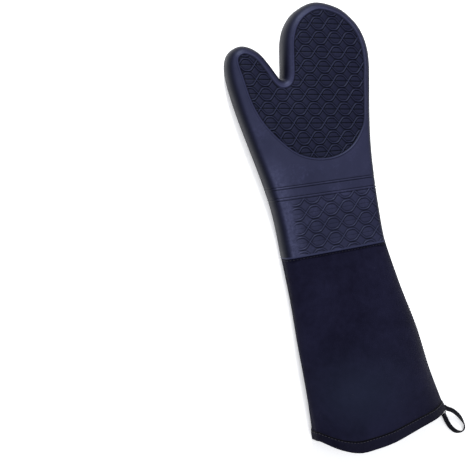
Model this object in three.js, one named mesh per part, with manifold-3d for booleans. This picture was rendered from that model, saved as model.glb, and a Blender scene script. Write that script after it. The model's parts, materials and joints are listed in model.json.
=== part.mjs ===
// A heat resistant glove: a long oven mitt with a silicone hand and forearm, a quilted cotton liner
// inside it, and a canvas sleeve that ends in a bound mouth with a hanging loop.
// Millimetres. +Y points to the fingertips, the thumb is on the -X side, and +Z points out of the palm.
// The glove lies on its back, so the flat back of the hand rests on z = 0.
import * as THREE from "three";
import { mergeVertices } from "three/addons/utils/BufferGeometryUtils.js";
import Module from "manifold-3d";

const wasm = await Module();
wasm.setup();

// ---- driving dimensions ----

const HAND_HEIGHT = 36; // from the back of the hand to the palm
const EDGE_INSET = 13; // how far in the rounded side wall reaches before the flat face starts
const EDGE_POWER = 2.6; // superellipse power of the side wall: 2 is round, more is boxier
const GAP = 0.3; // between neighbouring pieces
const SPLIT = GAP / 2; // what each of two neighbours gives up to the gap

const SHELL_THICK = 2;
const WADDING_THICK = 3;
const COTTON_THICK = 0.9;
const CANVAS_THICK = 1.1;
const LINING_THICK = 0.8;

const RIM_Y = -27; // where the silicone ends and the sleeve starts
const LINER_END_Y = RIM_Y + 2;
const TAIL_Y = -50; // the hand's outline runs past the rim to here, and is cut at the rim

const KNUCKLE_Y = 201;
const KNUCKLE_HALF = 11; // half the length of the silicone that bends at the knuckles
const WRIST_Y = 72.5;
const WRIST_HALF = 8.5;
const FOLD_Y = -36; // the sleeve folds over on this line, just below the silicone
const FOLD_HALF = 8.7;
const THUMB_BEND = 14; // width of the silicone that bends at the thumb's base
const CROTCH = [-56.9, 188.2]; // the bottom of the cleft between thumb and fingers
const THUMB_LINE = new THREE.Vector2(-0.5545, -0.8322); // from the cleft to the thumb's outer base

// Outline of the hand and forearm at half height, from the little-finger side of the rim, over the
// fingertips, into the cleft, over the thumb and back to the rim.
const HAND_OUTLINE = [
  [51.5, TAIL_Y], [47.5, -18], [46, 20], [45.8, 58], [47, 94], [50.8, 132],
  [56, 168], [59.6, 196], [59.2, 217], [53.6, 237], [43.4, 253], [26.5, 268],
  [-1, 277], [-25, 269.5], [-40, 255], [-48, 237], [-51.4, 216], [-53.8, 197],
  [-56.9, 187.6], [-61.8, 194.5], [-69.4, 208], [-79.5, 223], [-90.5, 231.5],
  [-103, 235], [-116, 229.5], [-122.6, 217], [-123.6, 199], [-121, 178],
  [-115.8, 150], [-107.5, 114], [-98.3, 75], [-91.3, 38], [-88.2, 6],
  [-86.9, -22], [-84.5, TAIL_Y],
];
const OUTLINE_STEPS = 2; // straight steps between two of those points

// The sleeve's side edges at five even stations from the rim to the hem.
const SLEEVE_LEFT = [-86.2, -82.8, -81.2, -78, -77];
const SLEEVE_RIGHT = [48.6, 64.2, 80.7, 92.2, 107.5];
const HEM_LEFT_Y = -257;
const HEM_RIGHT_Y = -262;
const HEM_DROP = [0, 13, 20.5, 19.5, 16.5, 12, 7.5, 4, 0]; // how far the upper layer hangs below that line
const HEM_DROP_POWER = 3; // how fast that drop fades towards the rim
const BACK_DROP_SHARE = 1 / 3; // the lower layer hangs by this share of it
const MOUTH_HEIGHT = 46;
const MOUTH_SEAM_Z = 9; // height of the side seams at the mouth
const SLEEVE_DROP = 1.1; // the canvas lies this far inside the silicone's surface
const RIDGE_SHIFT = 0.3; // the mouth's ridge leans to the thumb side by this share of its half width
const RIM_POWER = 4.6; // the section's power at the rim, and its two at the mouth
const MOUTH_TOP_POWER = 2.1;
const MOUTH_BACK_POWER = 3.2;
const PANEL_ANGLES = [0.5, 22, 42, 56, 72, 90, 108, 124, 138, 158, 179.5]; // degrees round half a section
const PANEL_ROWS = 8;
const SEAM_SINE = 0.02; // nearer to the side seams than this, as the sine of the angle, is at the seam
const SLOPE_STEP = 0.2; // degrees either side of a point for the section's direction there

const BINDING_WIDTH = 11;
const BINDING_THICK = 0.7;
const THREAD_RADIUS = 0.4;
const THREAD_SIDES = 5;
const STITCH_INSET = 2; // from a row of stitches to the edge that it follows
const HEM_STITCH_ENDS = [8, 172]; // degrees
const HEM_STITCH_STEPS = 30;
const SIDE_STITCH_STEPS = 14;

const LOOP_ROUTE = [
  [111.2, -263.4, 8], [119.8, -268.6, 6.5], [128.6, -277.8, 4.6], [134.4, -287.8, 3.2],
  [135.8, -295.4, 2.6], [131.4, -300.4, 2.5], [123.2, -298.8, 2.6], [116, -291.8, 3.6],
  [110.8, -283.3, 5.2], [107.6, -275.4, 6.6],
];
const LOOP_WIDTH = 5;
const LOOP_THICK = 1.6;
const LOOP_STEPS = 27;
const TACK_SIZE = [1, 7.6, 3.6];
const TACK_OFFSET = 2.6; // from the loop's swing axis back to the middle of the tack

const COLOURS = {
  silicone: 0x2b2b45,
  wadding: 0xe8e4da,
  cotton: 0xb9b7b2,
  canvas: 0x1c1c2e,
  lining: 0x24242c,
  thread: 0x191926,
  tape: 0x101018,
};
const MID_Z = HAND_HEIGHT / 2;

// Places outside the hand, where the regions that cut it end.
const OUTSIDE = { left: -140, right: 90, tips: 290, thumbTip: 262, below: -5, above: HAND_HEIGHT + 5 };

// ---- meshes and solids ----

function geometryOf(vertices, triangles) {
  const geometry = new THREE.BufferGeometry();
  geometry.setAttribute("position", new THREE.Float32BufferAttribute(vertices.flat(), 3));
  geometry.setIndex(triangles.flat());
  return geometry;
}

function solidOf(geometry) {
  const bare = geometry.clone();
  bare.deleteAttribute("normal");
  bare.deleteAttribute("uv");
  const merged = mergeVertices(bare, 1e-4);
  return new wasm.Manifold(
    new wasm.Mesh({
      numProp: 3,
      vertProperties: new Float32Array(merged.attributes.position.array),
      triVerts: new Uint32Array(merged.index.array),
    }),
  );
}

function geometryFrom(solid) {
  const mesh = solid.getMesh();
  const geometry = new THREE.BufferGeometry();
  geometry.setAttribute("position", new THREE.BufferAttribute(new Float32Array(mesh.vertProperties), 3));
  geometry.setIndex(new THREE.BufferAttribute(new Uint32Array(mesh.triVerts), 1));
  return geometry;
}

// An upright prism over a polygon in the XY plane.
function prism(corners, bottom = OUTSIDE.below, top = OUTSIDE.above) {
  const shape = new THREE.Shape(corners.map(([x, y]) => new THREE.Vector2(x, y)));
  const geometry = new THREE.ExtrudeGeometry(shape, { depth: top - bottom, bevelEnabled: false });
  geometry.translate(0, 0, bottom);
  return solidOf(geometry);
}

// A closed solid from a grid of cross-section loops: loops[i] is one closed loop of points, and the
// loops are joined in order and capped by the first and last, which are flat. From mirrorFrom on, the
// quads are cut on their other diagonal, so that two sheets' facets stay parallel.
function loft(loops, cap, mirrorFrom = Infinity) {
  const count = loops[0].length;
  const triangles = [];
  for (let i = 0; i + 1 < loops.length; i++) {
    for (let j = 0; j < count; j++) {
      const a = i * count + j;
      const b = i * count + ((j + 1) % count);
      if (j < mirrorFrom) triangles.push([a, b, b + count], [a, b + count, a + count]);
      else triangles.push([a, b, a + count], [b, b + count, a + count]);
    }
  }
  const last = (loops.length - 1) * count;
  for (const [a, b, c] of cap) {
    triangles.push([a, c, b], [last + a, last + b, last + c]);
  }
  return geometryOf(loops.flat(), triangles);
}

// A closed ring or tube: each of the profiles is a closed loop, and the last joins the first.
function ring(profiles) {
  const count = profiles[0].length;
  const total = profiles.length;
  const triangles = [];
  for (let i = 0; i < total; i++) {
    const next = (i + 1) % total;
    for (let j = 0; j < count; j++) {
      const k = (j + 1) % count;
      triangles.push([i * count + j, next * count + j, i * count + k]);
      triangles.push([next * count + j, next * count + k, i * count + k]);
    }
  }
  return geometryOf(profiles.flat(), triangles);
}

// ---- the hand: shells inside one another ----

const outlineCurve = new THREE.CatmullRomCurve3(
  HAND_OUTLINE.map(([x, y]) => new THREE.Vector3(x, y, 0)),
  false,
  "catmullrom",
  0.5,
);
const outlineCount = (HAND_OUTLINE.length - 1) * OUTLINE_STEPS;
const outlineSamples = Array.from({ length: outlineCount + 1 }, (_, i) => {
  const point = outlineCurve.getPoint(i / outlineCount);
  const tangent = outlineCurve.getTangent(i / outlineCount);
  const atEnd = i === 0 || i === outlineCount;
  const inward = atEnd ? [-Math.sign(point.x), 0] : [-tangent.y, tangent.x];
  return { x: point.x, y: point.y, inward };
});

// The closed outer surface of the layer that starts at the given depth below the silicone's surface.
function handSolid(depth) {
  const power = 2 / EDGE_POWER;
  const halfHeight = MID_Z - depth;
  const loops = [-90, -45, 0, 45, 90].map((degrees) => {
    const angle = THREE.MathUtils.degToRad(degrees);
    const across = Math.abs(degrees) === 90 ? 0 : Math.cos(angle) ** power;
    const inset = depth + (EDGE_INSET - depth) * (1 - across);
    const z = MID_Z + Math.sign(degrees) * halfHeight * Math.abs(Math.sin(angle)) ** power;
    return outlineSamples.map(({ x, y, inward }) => [x + inward[0] * inset, y + inward[1] * inset, z]);
  });
  const contour = loops[0].map(([x, y]) => new THREE.Vector2(x, y));
  return solidOf(loft(loops, THREE.ShapeUtils.triangulateShape(contour, [])));
}

const WADDING_DEPTH = SHELL_THICK + GAP;
const COTTON_DEPTH = WADDING_DEPTH + WADDING_THICK + GAP;
const shell = handSolid(0).subtract(handSolid(SHELL_THICK));
const wadding = handSolid(WADDING_DEPTH).subtract(handSolid(WADDING_DEPTH + WADDING_THICK));
const cotton = handSolid(COTTON_DEPTH).subtract(handSolid(COTTON_DEPTH + COTTON_THICK));

// A rectangle of the whole width between two heights up the glove.
function bandRegion(low, high) {
  const { left, right } = OUTSIDE;
  return [[left, low + SPLIT], [right, low + SPLIT], [right, high - SPLIT], [left, high - SPLIT]];
}

// A point beside the line at the thumb's base: along it from the cleft, and out towards the thumb.
function besideThumbLine(along, out) {
  return [
    CROTCH[0] + THUMB_LINE.x * along + THUMB_LINE.y * out,
    CROTCH[1] + THUMB_LINE.y * along - THUMB_LINE.x * out,
  ];
}

const knuckleLow = KNUCKLE_Y - KNUCKLE_HALF;
const knuckleHigh = KNUCKLE_Y + KNUCKLE_HALF;
const wristLow = WRIST_Y - WRIST_HALF;
const wristHigh = WRIST_Y + WRIST_HALF;
const betweenTips = [-70, 240]; // in the open cleft, above the thumb's base
const inCleft = [CROTCH[0] - 5, knuckleHigh];
const pastCleft = -14; // along the thumb's line, from the cleft out into the open
const pastThumb = 120; // along the thumb's line, beyond the thumb's outer base
const besideCleft = -2; // along the thumb's line, just clear of the cleft

const SHELL_REGIONS = {
  shell_fingers: [
    [inCleft[0], knuckleHigh + SPLIT], [OUTSIDE.right, knuckleHigh + SPLIT], [OUTSIDE.right, OUTSIDE.tips],
    [betweenTips[0], OUTSIDE.tips], betweenTips,
  ],
  shell_knuckle_bend: [
    [CROTCH[0], knuckleLow + SPLIT], [OUTSIDE.right, knuckleLow + SPLIT], [OUTSIDE.right, knuckleHigh - SPLIT],
    [inCleft[0], knuckleHigh - SPLIT],
  ],
  shell_thumb: [
    besideThumbLine(pastCleft, THUMB_BEND + SPLIT), betweenTips, [OUTSIDE.left / 2, OUTSIDE.thumbTip],
    [OUTSIDE.left, OUTSIDE.thumbTip], besideThumbLine(pastThumb, THUMB_BEND + SPLIT),
  ],
  shell_thumb_bend: [
    besideThumbLine(besideCleft, SPLIT), besideThumbLine(pastCleft, THUMB_BEND - SPLIT),
    besideThumbLine(pastThumb, THUMB_BEND - SPLIT), besideThumbLine(pastThumb, SPLIT),
  ],
  shell_hand: [
    besideThumbLine(besideCleft, -SPLIT), besideThumbLine(pastThumb, -SPLIT),
    [OUTSIDE.left, wristHigh + SPLIT], [OUTSIDE.right, wristHigh + SPLIT], [OUTSIDE.right, knuckleLow - SPLIT],
  ],
  shell_wrist_bend: bandRegion(wristLow, wristHigh),
  shell_forearm: bandRegion(RIM_Y, wristLow),
};

// ---- the sleeve ----

// A smooth value from even stations, at a share of the way from the first to the last.
function alongStations(values, share) {
  const curve = new THREE.CatmullRomCurve3(
    values.map((value, i) => new THREE.Vector3(i, value, 0)),
    false,
    "catmullrom",
    0.5,
  );
  return curve.getPoint(THREE.MathUtils.clamp(share, 0, 1)).y;
}

// A point of the sleeve's section: share is 0 at the rim and 1 at the hem, degrees run from the
// little-finger side over the palm, and depth is measured into the sleeve.
function sectionPoint(share, degrees) {
  const left = alongStations(SLEEVE_LEFT, share);
  const right = alongStations(SLEEVE_RIGHT, share);
  const angle = THREE.MathUtils.degToRad(degrees);
  const upper = Math.sin(angle) >= 0;
  const seamZ = THREE.MathUtils.lerp(MID_Z, MOUTH_SEAM_Z, share);
  const topZ = THREE.MathUtils.lerp(HAND_HEIGHT - SLEEVE_DROP, MOUTH_HEIGHT, share);
  const mouthPower = upper ? MOUTH_TOP_POWER : MOUTH_BACK_POWER;
  const power = THREE.MathUtils.lerp(RIM_POWER, mouthPower, Math.sqrt(share));
  const reach = (Math.abs(Math.cos(angle)) ** power + Math.abs(Math.sin(angle)) ** power) ** (-1 / power);
  const rise = reach * Math.sin(angle);
  const lean = upper ? RIDGE_SHIFT * share * rise : 0;
  const halfWidth = (right - left) / 2;
  const x = (right + left) / 2 + halfWidth * (reach * Math.cos(angle) - lean);
  const z = seamZ + rise * (upper ? topZ - seamZ : seamZ - SLEEVE_DROP);
  const across = THREE.MathUtils.clamp((x - left) / (right - left), 0, 1);
  const drop = share ** HEM_DROP_POWER * alongStations(HEM_DROP, across) * (upper ? 1 : BACK_DROP_SHARE);
  const hemY = THREE.MathUtils.lerp(HEM_LEFT_Y, HEM_RIGHT_Y, across);
  return new THREE.Vector3(x, THREE.MathUtils.lerp(RIM_Y, hemY, share) - drop, z);
}

// A point of the sleeve at a depth below its outer surface. The layers meet the side seams level.
function sleevePoint(share, degrees, depth) {
  const point = sectionPoint(share, degrees);
  const angle = THREE.MathUtils.degToRad(degrees);
  const inward = new THREE.Vector2(-Math.sign(Math.cos(angle)), 0); // at the side seams
  if (Math.abs(Math.sin(angle)) > SEAM_SINE) {
    const ahead = sectionPoint(share, degrees + SLOPE_STEP);
    const behind = sectionPoint(share, degrees - SLOPE_STEP);
    inward.set(behind.z - ahead.z, ahead.x - behind.x).normalize();
  }
  return [point.x + inward.x * depth, point.y, point.z + inward.y * depth];
}

const SLEEVE_LENGTH = RIM_Y - (HEM_LEFT_Y + HEM_RIGHT_Y) / 2;
const shareAt = (y) => (RIM_Y - y) / SLEEVE_LENGTH;
const flexStart = shareAt(FOLD_Y + FOLD_HALF);
const flexEnd = shareAt(FOLD_Y - FOLD_HALF);
const gapShare = GAP / SLEEVE_LENGTH;
const bindingStart = 1 - BINDING_WIDTH / SLEEVE_LENGTH;

const PANEL_SHARES = [
  flexStart + gapShare,
  ...Array.from({ length: PANEL_ROWS }, (_, row) =>
    THREE.MathUtils.lerp(flexEnd, bindingStart, row / (PANEL_ROWS - 1)),
  ),
];
const RING_ANGLES = [...PANEL_ANGLES, ...PANEL_ANGLES.map((degrees) => degrees + 180)];

// Half of the sleeve, between the side seams and down to the hem: a sheet of cloth of the given thickness.
function sleevePanel(fromShare, depth, thick, isPalm) {
  const angles = isPalm ? PANEL_ANGLES : PANEL_ANGLES.map((degrees) => degrees + 180);
  const outer = angles.map((degrees) => [degrees, depth]);
  const inner = angles.map((degrees) => [degrees, depth + thick]).reverse();
  const loops = [...PANEL_SHARES.filter((share) => share >= fromShare), 1].map((share) =>
    [...outer, ...inner].map(([degrees, below]) => sleevePoint(share, degrees, below)),
  );
  const last = outer.length * 2 - 1;
  const cap = [];
  for (let i = 0; i + 1 < outer.length; i++) {
    cap.push([i, i + 1, last - i - 1], [i, last - i - 1, last - i]);
  }
  return loft(loops, cap, outer.length);
}

// A ring round the sleeve whose profile is a closed list of [share, depth] corners.
function sleeveRing(profile) {
  return ring(RING_ANGLES.map((degrees) => profile.map(([share, depth]) => sleevePoint(share, degrees, depth))));
}

function sleeveFoldGeometry() {
  return sleeveRing([
    [flexStart + gapShare, 0], [flexEnd - gapShare, 0],
    [flexEnd - gapShare, CANVAS_THICK], [flexStart + gapShare, CANVAS_THICK],
  ]);
}

// The binding wraps the hem: an outer leg, the turn round the edge, and an inner leg.
function bindingGeometry() {
  const outside = -GAP;
  const inside = CANVAS_THICK + GAP + LINING_THICK + GAP;
  const turn = 1 + gapShare;
  const end = 1 + gapShare + BINDING_THICK / SLEEVE_LENGTH;
  return sleeveRing([
    [bindingStart, outside - BINDING_THICK], [end, outside - BINDING_THICK], [end, inside + BINDING_THICK],
    [bindingStart, inside + BINDING_THICK], [bindingStart, inside], [turn, inside], [turn, outside],
    [bindingStart, outside],
  ]);
}

// ---- threads, loop and tack ----

function sweep(points, section, steps) {
  const path = new THREE.CatmullRomCurve3(points.map((p) => new THREE.Vector3(...p)), false, "catmullrom", 0.5);
  return new THREE.ExtrudeGeometry(section, { steps, bevelEnabled: false, extrudePath: path });
}

const threadSection = new THREE.Shape(
  Array.from({ length: THREAD_SIDES }, (_, i) => {
    const angle = (i / THREAD_SIDES) * Math.PI * 2;
    return new THREE.Vector2(Math.cos(angle) * THREAD_RADIUS, Math.sin(angle) * THREAD_RADIUS);
  }),
);
const threadDepth = -(GAP + THREAD_RADIUS);

// The row of stitches that holds the sleeve in the silicone's rim.
function rimStitchGeometry() {
  const share = flexStart + STITCH_INSET / SLEEVE_LENGTH;
  return ring(
    RING_ANGLES.map((degrees) =>
      Array.from({ length: 4 }, (_, i) => {
        const angle = (i / 4) * Math.PI * 2;
        const along = (Math.cos(angle) * THREAD_RADIUS) / SLEEVE_LENGTH;
        return sleevePoint(share + along, degrees, threadDepth + Math.sin(angle) * THREAD_RADIUS);
      }),
    ),
  );
}

// The row of stitches along the binding's upper edge, over the palm side.
function hemStitchGeometry() {
  const share = 1 - (BINDING_WIDTH - STITCH_INSET) / SLEEVE_LENGTH;
  const depth = threadDepth - 2 * GAP - BINDING_THICK;
  const angles = [HEM_STITCH_ENDS[0], ...PANEL_ANGLES.slice(1, -1), HEM_STITCH_ENDS[1]];
  const points = angles.map((degrees) => sleevePoint(share, degrees, depth));
  return sweep(points, threadSection, HEM_STITCH_STEPS);
}

function sideStitchGeometry(degrees) {
  const from = flexEnd + STITCH_INSET / SLEEVE_LENGTH;
  const to = 1 - (BINDING_WIDTH + STITCH_INSET) / SLEEVE_LENGTH;
  const stations = 6;
  const points = Array.from({ length: stations }, (_, i) =>
    sleevePoint(THREE.MathUtils.lerp(from, to, i / (stations - 1)), degrees, threadDepth),
  );
  return sweep(points, threadSection, SIDE_STITCH_STEPS);
}

function loopGeometry() {
  const section = new THREE.Shape([
    new THREE.Vector2(-LOOP_THICK / 2, -LOOP_WIDTH / 2),
    new THREE.Vector2(LOOP_THICK / 2, -LOOP_WIDTH / 2),
    new THREE.Vector2(LOOP_THICK / 2, LOOP_WIDTH / 2),
    new THREE.Vector2(-LOOP_THICK / 2, LOOP_WIDTH / 2),
  ]);
  return sweep(LOOP_ROUTE, section, LOOP_STEPS);
}

function tackGeometry() {
  const first = new THREE.Vector3(...LOOP_ROUTE[0]);
  const last = new THREE.Vector3(...LOOP_ROUTE.at(-1));
  const geometry = new THREE.BoxGeometry(...TACK_SIZE);
  const turn = Math.atan2(first.y - last.y, first.x - last.x) - Math.PI / 2;
  geometry.rotateZ(turn);
  const middle = first.add(last).multiplyScalar(0.5);
  geometry.translate(middle.x - TACK_OFFSET * Math.cos(turn), middle.y - TACK_OFFSET * Math.sin(turn), middle.z);
  return geometry;
}

// ---- the assembly ----

const glove = new THREE.Group();

function add(name, geometry, colour, roughness) {
  const material = new THREE.MeshStandardMaterial({ color: COLOURS[colour], roughness, metalness: 0 });
  const mesh = new THREE.Mesh(geometry, material);
  mesh.name = name;
  glove.add(mesh);
}

for (const [name, region] of Object.entries(SHELL_REGIONS)) {
  add(name, geometryFrom(shell.intersect(prism(region))), "silicone", 0.55);
}

const sides = { palm: [MID_Z + SPLIT, OUTSIDE.above], back: [OUTSIDE.below, MID_Z - SPLIT] };
for (const [side, [bottom, top]] of Object.entries(sides)) {
  const half = prism(bandRegion(LINER_END_Y, OUTSIDE.tips), bottom, top);
  add(`wadding_${side}`, geometryFrom(wadding.intersect(half)), "wadding", 0.95);
  add(`cotton_${side}`, geometryFrom(cotton.intersect(half)), "cotton", 0.9);
  const isPalm = side === "palm";
  add(`sleeve_${side}`, sleevePanel(flexEnd, 0, CANVAS_THICK, isPalm), "canvas", 0.85);
  const liningDepth = CANVAS_THICK + GAP;
  add(`sleeve_lining_${side}`, sleevePanel(flexStart + gapShare, liningDepth, LINING_THICK, isPalm), "lining", 0.9);
}
add("sleeve_fold", sleeveFoldGeometry(), "canvas", 0.85);
add("mouth_binding", bindingGeometry(), "canvas", 0.85);
add("rim_stitch", rimStitchGeometry(), "thread", 0.8);
add("hem_stitch", hemStitchGeometry(), "thread", 0.8);
add("side_stitch_thumb", sideStitchGeometry(180), "thread", 0.8);
add("side_stitch_little", sideStitchGeometry(0), "thread", 0.8);
add("hanging_loop", loopGeometry(), "tape", 0.85);
add("loop_tack", tackGeometry(), "thread", 0.8);

// The part's origin is the bottom centre of its box.
const box = new THREE.Box3().setFromObject(glove);
const centre = box.getCenter(new THREE.Vector3());
glove.position.set(-centre.x, -centre.y, -box.min.z);

export default glove;
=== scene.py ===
"""The looks of a long oven mitt: a moulded silicone hand over a quilted liner, and a canvas sleeve.

Shapes are worked out in millimetres in the drafting frame of the CAD part, where +Y points to the
fingertips, the thumb is on the -X side and the back of the hand lies on z = 0. to_frame() brings them
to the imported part's frame in metres.
"""

import json
import math

import bpy
import numpy as np
from mathutils import Matrix, Vector
from mathutils.geometry import delaunay_2d_cdt
from mathutils.kdtree import KDTree


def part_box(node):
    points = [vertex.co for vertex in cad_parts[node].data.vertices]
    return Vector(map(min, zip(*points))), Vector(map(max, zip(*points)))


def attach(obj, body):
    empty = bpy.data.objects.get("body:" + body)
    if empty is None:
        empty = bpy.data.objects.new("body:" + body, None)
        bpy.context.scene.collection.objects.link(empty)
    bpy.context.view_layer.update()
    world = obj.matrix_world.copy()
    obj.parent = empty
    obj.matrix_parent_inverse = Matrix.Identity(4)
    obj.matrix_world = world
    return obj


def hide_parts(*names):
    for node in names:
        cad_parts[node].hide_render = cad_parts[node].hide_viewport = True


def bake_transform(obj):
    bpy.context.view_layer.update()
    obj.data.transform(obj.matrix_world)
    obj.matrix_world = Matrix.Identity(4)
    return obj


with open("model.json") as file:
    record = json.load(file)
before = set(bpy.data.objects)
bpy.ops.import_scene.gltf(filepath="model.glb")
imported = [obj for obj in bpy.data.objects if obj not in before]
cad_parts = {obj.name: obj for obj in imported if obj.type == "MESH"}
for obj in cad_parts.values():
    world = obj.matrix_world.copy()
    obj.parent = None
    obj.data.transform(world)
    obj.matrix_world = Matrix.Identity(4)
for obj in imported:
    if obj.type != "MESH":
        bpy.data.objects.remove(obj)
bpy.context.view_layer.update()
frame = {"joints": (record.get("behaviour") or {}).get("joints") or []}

# ---- the part's dimensions, in millimetres ----

HAND_HEIGHT = 36
MID_Z = HAND_HEIGHT / 2
EDGE_INSET = 13
EDGE_POWER = 2.6
CROWN_HEIGHT = 1.6
RIM_Y = -27
TAIL_Y = -50
SHELL_THICK = 2
LINER_DEPTH = 2.5
LINER_THICK = 4.2
LINER_END_Y = -25
CANVAS_THICK = 1.1
LINING_DEPTH = 1.5
LINING_THICK = 0.8
WRIST_JOINT = (-25, 72.5, 18)

HAND_OUTLINE = [
    (51.5, TAIL_Y), (47.5, -18), (46, 20), (45.8, 58), (47, 94), (50.8, 132),
    (56, 168), (59.6, 196), (59.2, 217), (53.6, 237), (43.4, 253), (26.5, 268),
    (-1, 277), (-25, 269.5), (-40, 255), (-48, 237), (-51.4, 216), (-53.8, 197),
    (-56.9, 187.6), (-61.8, 194.5), (-69.4, 208), (-79.5, 223), (-90.5, 231.5),
    (-103, 235), (-116, 229.5), (-122.6, 217), (-123.6, 199), (-121, 178),
    (-115.8, 150), (-107.5, 114), (-98.3, 75), (-91.3, 38), (-88.2, 6),
    (-86.9, -22), (-84.5, TAIL_Y),
]
CLEFT = np.array([-56.9, 188.2])
THUMB_LINE = np.array([-0.5545, -0.8322])
THUMB_OUT = np.array([-0.8322, 0.5545])
GAP_LEAN = 0.1
FINGERTIPS_Y = 240
FOREARM_CUT_Y = 97
CUTS = {
    "fingers": (CLEFT + (0, 1), np.array([1.0, 0])),
    "thumb": (CLEFT, THUMB_LINE),
    "forearm": (np.array([0, float(FOREARM_CUT_Y)]), np.array([1.0, 0])),
}

SLEEVE_LEFT = (-86.2, -82.8, -81.2, -78, -77)
SLEEVE_RIGHT = (48.6, 64.2, 80.7, 92.2, 107.5)
HEM_LEFT_Y = -257
HEM_RIGHT_Y = -262
HEM_DROP = (0, 13, 20.5, 19.5, 16.5, 12, 7.5, 4, 0)
HEM_DROP_POWER = 3
BACK_DROP_SHARE = 1 / 3
MOUTH_HEIGHT = 46
MOUTH_SEAM_Z = 9
SLEEVE_DROP = 1.1
RIDGE_SHIFT = 0.3
RIM_POWER = 4.6
MOUTH_TOP_POWER = 2.1
MOUTH_BACK_POWER = 3.2
SLEEVE_LENGTH = RIM_Y - (HEM_LEFT_Y + HEM_RIGHT_Y) / 2
BINDING_WIDTH = 11
BINDING_THICK = 0.7
SEAM_DEGREES = (0.5, 179.5)
# a paler patch on the top of the sleeve, towards the hem
PALE_PATCH_DEGREE = 95
PALE_PATCH_SPREAD = 42
PALE_PATCH_SHARE = 0.74
PALE_PATCH_LENGTH = 0.17

LOOP_ROUTE = [
    (107.4, -259.8, 8.6), (111.2, -263.4, 8), (119.8, -268.6, 6.5), (128.6, -277.8, 4.6),
    (134.4, -287.8, 3.2), (135.8, -295.4, 2.8), (131.4, -300.4, 2.8), (123.2, -298.8, 2.8),
    (116, -291.8, 3.6), (110.8, -283.3, 5.2), (107.6, -275.4, 6.6), (105.4, -269.6, 7.6),
]
LOOP_WIDTH = 6.2
LOOP_THICK = 1.5

# ---- the camera ----

CAMERA_PLACE = (-417.8, 107.1, 1071.4)
CAMERA_AIM = (-135.4, 12.7, 0)
CAMERA_ROLL = 8.6
CAMERA_LENS = 68.84

# ---- the moulded texture ----

PANEL_INSET = 10
PANEL_SOFTNESS = 5
PANEL_ARC = [
    (-150, 300), (-116, 226), (-102, 164), (-84, 128), (-53, 96), (-16, 86),
    (16, 95), (37, 120), (44, 146), (51, 190), (90, 300),
]
BEAD_HEIGHT = 1.0
BEAD_HALF = 1.15
RIDGE_HEIGHT = 0.95
GROOVE_SHARE = 0.5
WAVE_RAMP = 0.3
WAVE_SHARPNESS = 6
RIDGE_HALF = 0.85
ROW_TILT = -0.14
ROW_CENTRE_X = -15
PANEL_CELL = (19.3, 17.3)
PANEL_NODE = (-14.7, 112.2)
BAND_CELL = (22, 17.9)
BAND_NODE = (-10.4, 7.3)
BAND_TOP_Y = 42
BAND_LEFT_X = -69
BAND_RIGHT_X = 41
WAVE_HEIGHT = 7.3
BAND_LINES = ((58, 1.4), (44.6, 1.7))
BAND_LINE_TILT = -0.022
BAND_LINE_LEVEL_X = -25
ROW_GROOVE_PANEL = 1.7
ROW_GROOVE_BAND = 0.7
BAND_RIDGE_SHARE = 0.8

SKIN_STEP = 0.75
EDGE_STEP = 0.9
LINER_STEP = 2.2
SEED = 7

QUILT_SPACING = 26
QUILT_LINE = 4.5
QUILT_PUFF = 1.7

# ---- the floor and the light, in metres and watts ----

FLOOR_Z = -0.0012
FLOOR_HALF = 6
FLOOR_GLOW = 0.36
LIGHT_AIM = (-0.02, 0, 0)
KEY_PLACE = (-0.16, 1.45, 1.0)
KEY_SIZE = 0.4
KEY_POWER = 38
FILL_PLACE = (-0.3, -0.2, 1.9)
FILL_SIZE = 1.8
FILL_POWER = 19

shift = Vector(
    next(j["pos_m"] for j in frame["joints"] if j["name"] == "wrist_flex")
) - Vector(WRIST_JOINT) / 1000


def to_frame(points):
    """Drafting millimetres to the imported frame's metres."""
    return np.asarray(points, float) / 1000 + np.array(shift)


# ---- camera, floor and light ----


def camera():
    position = Vector(to_frame(CAMERA_PLACE))
    aim = Vector(to_frame(CAMERA_AIM))
    roll = math.radians(CAMERA_ROLL)
    forward = (aim - position).normalized()
    level = forward.cross(Vector((0, 1, 0))).normalized()
    upright = level.cross(forward)
    up = math.cos(roll) * upright + math.sin(roll) * level
    right = math.cos(roll) * level - math.sin(roll) * upright
    data = bpy.data.cameras.new("camera")
    data.lens = CAMERA_LENS
    data.sensor_width = 36
    data.clip_start = 0.01
    data.clip_end = 20
    obj = bpy.data.objects.new("camera", data)
    turn = Matrix((right, up, -forward)).transposed()
    obj.matrix_world = Matrix.Translation(position) @ turn.to_4x4()
    bpy.context.scene.collection.objects.link(obj)
    bpy.context.scene.camera = obj


def area_light(name, place, aim, size, power):
    data = bpy.data.lights.new(name, "AREA")
    data.shape = "DISK"
    data.size = size
    data.energy = power
    obj = bpy.data.objects.new(name, data)
    obj.location = place
    obj.rotation_euler = (Vector(aim) - Vector(place)).to_track_quat("-Z", "Y").to_euler()
    bpy.context.scene.collection.objects.link(obj)


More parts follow.
